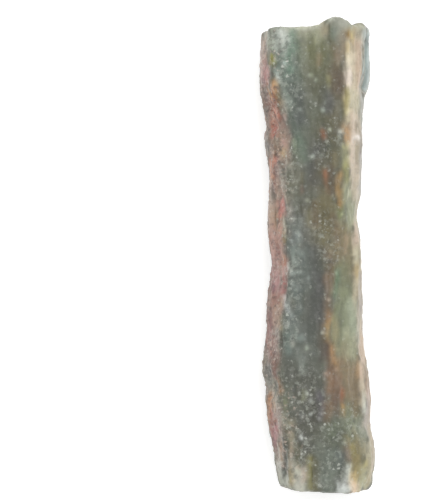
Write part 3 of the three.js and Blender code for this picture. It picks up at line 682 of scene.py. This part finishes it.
def hex_colour(text):
    """An sRGB colour as the linear one that the shaders take."""
    parts = [int(text[i : i + 2], 16) / 255 for i in (1, 3, 5)]
    return [p / 12.92 if p <= 0.04045 else ((p + 0.055) / 1.055) ** 2.4 for p in parts] + [1]


edges = np.empty(len(stone.data.edges) * 2, np.int32)
stone.data.edges.foreach_get("vertices", edges)
ends = edges.reshape(-1, 2)
neighbours = np.bincount(edges, minlength=len(stone.data.vertices))


def run_together(colours, rounds):
    """Evens the colours out among each point's neighbours, once for each round."""
    for _ in range(rounds):
        around = [
            np.bincount(ends[:, 0], c[ends[:, 1]], len(c)) + np.bincount(ends[:, 1], c[ends[:, 0]], len(c))
            for c in colours.T
        ]
        colours = (colours + np.stack(around, axis=1) / neighbours[:, None]) / 2
    return colours


# The flanks show what lies just inside the edge above them, as the fibres run down through the stone.
# On the flanks and the end faces the patches also run into each other, so that they don't show there
# as straight bars.
FACING_ROUNDS = 12
FLANK_FACES_UP = (0.1, 0.5)  # from wholly a flank to wholly the upper side
END_FACES_OUT = (0.6, 0.9)
LOWER_FLANK_MM = (2.0, 3.3)
FEATHERED_FLANK_MM = (2.8, 4.4)
LEAN_PER_MM = 0.36  # for each millimetre down, patches are read this share nearer the middle
LEAN_BELOW_MM = 2.1
LEAN_MOST_MM = 1.7
LEAN_IN_PLACES = 0.28  # and how much more in some long, uneven places low on the flanks
UNEVEN_PLACES = (-0.15, 0.25)
END_TAPER = 0.12  # how much nearer the middle the patches are read low on an end face
END_TOP_MM = 4.6
END_DEPTH_MM = 3
RAGGED_ACROSS_MM = 0.16
RAGGED_ALONG_MM = 0.35
STRAY_ON_ENDS_MM = 1.5
STRAY_ON_FLANKS_MM = 2.4
STRAY_BELOW_EDGE_MM = 6.0
normals = np.empty(len(stone.data.vertices) * 3, np.float32)
stone.data.vertices.foreach_get("normal", normals)
normals = normals.reshape(-1, 3).astype(float)
skin = points_mm()
height = skin[:, 2]
facing = run_together(normals, FACING_ROUNDS)
steep = 1 - smooth_step(facing[:, 2], *FLANK_FACES_UP)
end_face = smooth_step(np.abs(facing[:, 1]), *END_FACES_OUT)
down = steep * (1 - smooth_step(height, *LOWER_FLANK_MM))
feathered = steep * (1 - smooth_step(height, *FEATHERED_FLANK_MM))
lean = LEAN_PER_MM * np.clip(LEAN_BELOW_MM - height, 0, LEAN_MOST_MM)
lean += LEAN_IN_PLACES * down * smooth_step(uneven(skin, (1.0, 6.0, 0.5), 71), *UNEVEN_PLACES)
taper = END_TAPER * end_face * smooth_step(END_TOP_MM - height, 0, END_DEPTH_MM)
drawn_across = (
    skin[:, 0] * (1 - lean)
    + RAGGED_ACROSS_MM * uneven(skin, (0.9, 2.2, 0.9), 20)
    + STRAY_ON_ENDS_MM * end_face * uneven(skin, (2.0, 1.3, 1.6), 83)
)
drawn_along = (
    skin[:, 1] * (1 - taper)
    + RAGGED_ALONG_MM * uneven(skin, (0.6, 1.6, 0.6), 31)
    + (STRAY_BELOW_EDGE_MM * feathered + STRAY_ON_FLANKS_MM * steep) * uneven(skin, (1.0, 3.0, 0.5), 66)
)
drawn_on = np.stack([drawn_across, drawn_along], axis=1)

# The edges of the patches are ragged, and so is the line where the underside's own patches begin.
BODY_COLOUR = "#696f65"
RAGGED = 0.45
BENEATH_MM = (0.7, 1.5)
raggedness = uneven(skin, (0.4, 1.1, 0.4), 47)
beneath = 1 - smooth_step(height + uneven(skin, (1.4, 2.0, 1.4), 55), *BENEATH_MM)


def painted(layers):
    """The colour that the layers give each point of the stone."""
    paint = np.tile(hex_colour(BODY_COLOUR)[:3], (len(skin), 1))
    for softness, cover, patches in layers.values():
        for colour, half_width, path in patches:
            near = nearness(drawn_on, half_width, path) + RAGGED * raggedness
            share = cover * smooth_step(near, 0.5 - softness, 0.5 + softness)[:, None]
            paint = paint * (1 - share) + share * np.array(hex_colour(colour)[:3])
    return paint


# Hues run together in the translucent stone, while light and dark keep more of their edges. The
# patches are given as they look in the white room, which brightens the stone's own colours and lays a
# pale sheen over them, so both are taken off again.
HUE_ROUNDS = 9
LIGHT_ROUNDS = 2
BLUE_TO_GREEN = 0.8  # warm patches have less blue than this for their green, and cool ones more
BLUE_APART = 0.15  # how much further apart the two are drawn
ROOM_GAIN = 1.15
ROOM_SHEEN = (0.028, 0.037, 0.043)
DARKEST = 0.01
paint = painted(SEEN_FROM_ABOVE) * (1 - beneath[:, None]) + painted(SEEN_FROM_BELOW) * beneath[:, None]
hues = run_together(paint, HUE_ROUNDS)
hues[:, 2] *= (hues[:, 2] / hues[:, 1] / BLUE_TO_GREEN) ** BLUE_APART
tint = hues * run_together(paint, LIGHT_ROUNDS).mean(axis=1)[:, None] / hues.mean(axis=1)[:, None]
tint = np.maximum((tint - ROOM_SHEEN) / ROOM_GAIN, DARKEST)
stone.data.attributes.new("tint", "FLOAT_COLOR", "POINT").data.foreach_set(
    "color", np.concatenate([tint, np.ones((len(tint), 1))], axis=1).astype(np.float32).ravel()
)


def add(tree, kind, settings=(), inputs=()):
    """Adds a node with its settings, and with values or links for its inputs."""
    node = tree.nodes.new(kind)
    for key, value in dict(settings).items():
        setattr(node, key, value)
    for key, value in dict(inputs).items():
        if isinstance(value, bpy.types.NodeSocket):
            tree.links.new(value, node.inputs[key])
        else:
            node.inputs[key].default_value = value
    return node


# Nephrite, broken and weathered: felted fibres scatter the light just under a frosty surface. White flecks
# are painted in, partly pale grains and partly painted glints where a grain faces the light. Patterns are
# sized in millimetres and run along the stick.
nephrite = bpy.data.materials.new("nephrite_jade_broken")
nephrite.use_nodes = True
tree = nephrite.node_tree
tree.nodes.clear()
place = add(tree, "ShaderNodeTexCoord").outputs["Object"]
DRAWN_OUT = 0.26  # the streaks are almost four times as long as they are wide
in_mm = add(
    tree, "ShaderNodeMapping", {}, {"Vector": place, "Scale": (1 / MM, 1 / MM, 1 / MM)}
).outputs[0]
along = add(
    tree, "ShaderNodeMapping", {}, {"Vector": place, "Scale": (1 / MM, DRAWN_OUT / MM, 1 / MM)}
).outputs[0]
frosted = add(tree, "ShaderNodeAttribute", {"attribute_name": "frosted"}).outputs["Fac"]
pitted = add(tree, "ShaderNodeAttribute", {"attribute_name": "pitted"}).outputs["Fac"]
on_rind = add(tree, "ShaderNodeAttribute", {"attribute_name": "rind"}).outputs["Fac"]
colour = add(tree, "ShaderNodeAttribute", {"attribute_name": "tint"}).outputs["Color"]

# Fine streaks of the fibres and a mottle of grains make the colour lighter and darker: the streaks most
# on the rind, and the mottle most where it is frosted or pitted.
rough = add(
    tree, "ShaderNodeMath", {"operation": "ADD", "use_clamp": True}, {0: frosted, 1: pitted}
).outputs[0]
MOTTLES = [  # (along which axes, how many to the millimetre, strength everywhere, mask, more)
    (along, 2.4, 0.25, on_rind, 0.5),
    (in_mm, 1.5, 0.45, rough, 0.45),
]
for vector, scale, everywhere, mask, more in MOTTLES:
    texture = add(
        tree, "ShaderNodeTexNoise", {},
        {"Vector": vector, "Scale": scale, "Detail": 3, "Roughness": 0.6},
    ).outputs[0]
    swing = add(
        tree, "ShaderNodeMath", {"operation": "MULTIPLY_ADD"}, {0: mask, 1: more, 2: everywhere}
    ).outputs[0]
    texture = add(tree, "ShaderNodeMath", {"operation": "SUBTRACT"}, {0: texture, 1: 0.5}).outputs[0]
    gain = add(
        tree, "ShaderNodeMath", {"operation": "MULTIPLY_ADD"}, {0: texture, 1: swing, 2: 1.0}
    ).outputs[0]
    colour = add(
        tree, "ShaderNodeVectorMath", {"operation": "SCALE"}, {0: colour, "Scale": gain}
    ).outputs[0]

# Frost, pits and grains stand out in spots of their own colour, and the pale grains are partly painted
# glints. The dark spots in the rough zones and the small dark sockets round single grains are painted
# shade in the hollows. Each shows by a part everywhere, and by more where a mask asks for it. The real
# grains are about 0.1 mm across, and these are drawn with soft edges and two or three times as large, to
# show in the render.
WOBBLES_PER_MM = 5
WOBBLE_MM = 0.4
# painted shade: the dark of small hollows round single grains and between frosty bumps
PAINTED_SHADE_COLOUR = "#3f423b"
wobble = add(
    tree, "ShaderNodeTexNoise", {}, {"Vector": in_mm, "Scale": WOBBLES_PER_MM, "Detail": 2}
).outputs["Color"]
wobble = add(
    tree, "ShaderNodeVectorMath", {"operation": "SCALE"}, {0: wobble, "Scale": WOBBLE_MM}
).outputs[0]
wobbled = add(tree, "ShaderNodeVectorMath", {"operation": "ADD"}, {0: in_mm, 1: wobble}).outputs[0]
CLUMPS = [  # (size in mm, from and to this level of the noise, colour, everywhere, mask, more)
    # the rows in the dark colour are painted shade in the hollows between grains
    (0.5, 0.44, 0.3, PAINTED_SHADE_COLOUR, 0.08, rough, 0.4),
    (0.42, 0.55, 0.68, "#b5b9ae", 0.03, frosted, 0.3),
    (0.32, 0.44, 0.3, PAINTED_SHADE_COLOUR, 0.15, rough, 0.14),
    (0.36, 0.47, 0.32, "#463a35", 0.0, on_rind, 0.45),
    (0.3, 0.56, 0.72, "#b5b6aa", 0.05, rough, 0.12),
    (0.4, 0.58, 0.74, "#c6b2a4", 0.0, pitted, 0.6),
]
# the pale spots are partly real pale grains and partly painted glints of grains facing the light
GRAINS_AND_GLINTS = [  # (cell in mm, share of cells that hold one, radius within it, colour, everywhere, mask, more)
    (0.26, 0.3, 0.42, "#bcbeb1", 0.09, rough, 0.32),
    (0.3, 0.3, 0.42, "#d6c5b8", 0.0, on_rind, 0.55),
    (0.24, 0.3, 0.45, "#cdb8a8", 0.0, pitted, 0.5),
    (0.38, 0.23, 0.38, "#cdd0c5", 0.27, frosted, 0.43),
]
SURE_SHARE = 0.4  # the part of the chosen cells whose grain shows in full
spots = []
for size_mm, low, high, hue, everywhere, mask, more in CLUMPS:
    texture = add(
        tree, "ShaderNodeTexNoise", {},
        {"Vector": wobbled, "Scale": 1 / size_mm, "Detail": 1, "Roughness": 0.5, "Distortion": 0.3},
    ).outputs[0]
    spot = add(
        tree, "ShaderNodeMapRange", {"interpolation_type": "SMOOTHSTEP"}, {0: texture, 1: low, 2: high}
    ).outputs[0]
    spots.append((spot, hue, everywhere, mask, more))
for cell_mm, share, radius, hue, everywhere, mask, more in GRAINS_AND_GLINTS:
    cells = add(
        tree, "ShaderNodeTexVoronoi", {"feature": "F1"}, {"Vector": wobbled, "Scale": 1 / cell_mm}
    )
    luck = add(tree, "ShaderNodeSeparateColor", {}, {0: cells.outputs["Color"]}).outputs[0]
    chosen = add(
        tree, "ShaderNodeMapRange", {}, {0: luck, 1: 1 - share, 2: 1 - share * SURE_SHARE, 3: 0, 4: 1}
    ).outputs[0]
    # the painted shade of a socket, and the grain in it: (how many radii it reaches, colour, strength)
    for reach, shade, part in ((1.9, PAINTED_SHADE_COLOUR, 0.4), (1.2, hue, 1)):
        spot = add(
            tree, "ShaderNodeMapRange", {"interpolation_type": "SMOOTHSTEP"},
            {0: cells.outputs["Distance"], 1: radius * reach, 2: 0, 3: 0, 4: part},
        ).outputs[0]
        spot = add(tree, "ShaderNodeMath", {"operation": "MULTIPLY"}, {0: chosen, 1: spot}).outputs[0]
        spots.append((spot, shade, everywhere, mask, more))
for spot, hue, everywhere, mask, more in spots:
    strength = add(
        tree, "ShaderNodeMath", {"operation": "MULTIPLY_ADD"}, {0: mask, 1: more, 2: everywhere}
    ).outputs[0]
    cover = add(
        tree, "ShaderNodeMath", {"operation": "MULTIPLY", "use_clamp": True}, {0: spot, 1: strength}
    ).outputs[0]
    colour = add(
        tree, "ShaderNodeMix", {"data_type": "RGBA"}, {0: cover, 6: colour, 7: hex_colour(hue)}
    ).outputs[2]

# The finest grain of the break is only a bump, and light goes a little way into the pale fibres.
GRAINS_PER_MM = 6
GRAIN_HEIGHT_MM = 0.03
NEPHRITE_IOR = 1.62
LIGHT_GOES_MM = 0.4
GOES_BY_COLOUR = (1.0, 1.1, 0.9)  # red, green and blue light, as shares of that
grain = add(
    tree, "ShaderNodeTexNoise", {},
    {"Vector": in_mm, "Scale": GRAINS_PER_MM, "Detail": 3, "Roughness": 0.6},
).outputs[0]
bump = add(
    tree, "ShaderNodeBump", {}, {"Strength": 0.5, "Distance": GRAIN_HEIGHT_MM * MM, "Height": grain}
).outputs[0]
surface = add(
    tree, "ShaderNodeBsdfPrincipled", {},
    {
        "Base Color": colour, "Roughness": 0.5, "IOR": NEPHRITE_IOR,
        "Subsurface Weight": 0.3, "Normal": bump,
    },
)
surface.inputs["Subsurface Radius"].default_value = GOES_BY_COLOUR
surface.inputs["Subsurface Scale"].default_value = LIGHT_GOES_MM * MM
add(tree, "ShaderNodeOutputMaterial", {}, {"Surface": surface.outputs[0]})

stone.data.materials.clear()
stone.data.materials.append(nephrite)
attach(stone, "root")
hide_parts("rough_jade")


# The floor: the opal acrylic top of a light table. It glows, so that almost no shadow shows on it and
# the stone's thin edges look pale.
FLOOR_SIZE = 2.4
GLOW = 0.4
bpy.ops.mesh.primitive_plane_add(size=FLOOR_SIZE, location=(0, 0, 0))
floor = bpy.context.object
floor.name = "floor"
acrylic = bpy.data.materials.new("opal_acrylic_lit_from_behind")
acrylic.use_nodes = True
sheet = acrylic.node_tree.nodes["Principled BSDF"]
sheet.inputs["Base Color"].default_value = hex_colour("#f4f4f4")
sheet.inputs["Roughness"].default_value = 0.8
sheet.inputs["Emission Color"].default_value = (1, 1, 1, 1)
sheet.inputs["Emission Strength"].default_value = GLOW
floor.data.materials.append(acrylic)


# The light: a bright white room, and a large soft lamp beyond the knobbed end, high on the right.
ROOM_BRIGHTNESS = 0.9
LAMP_SIZE = 0.25
LAMP_WATTS = 0.6
LAMP_PLACE = (0.1, 0.16, 0.36)
world = bpy.data.worlds.new("white_room")
bpy.context.scene.world = world
world.use_nodes = True
world.node_tree.nodes["Background"].inputs["Color"].default_value = (1, 1, 1, 1)
world.node_tree.nodes["Background"].inputs["Strength"].default_value = ROOM_BRIGHTNESS

lamp_data = bpy.data.lights.new("soft_lamp", "AREA")
lamp_data.size = LAMP_SIZE
lamp_data.energy = LAMP_WATTS
lamp = bpy.data.objects.new("soft_lamp", lamp_data)
lamp.location = LAMP_PLACE
lamp.rotation_euler = (-lamp.location).to_track_quat("-Z", "Y").to_euler()
bpy.context.scene.collection.objects.link(lamp)
bpy.context.scene.view_settings.view_transform = "Standard"
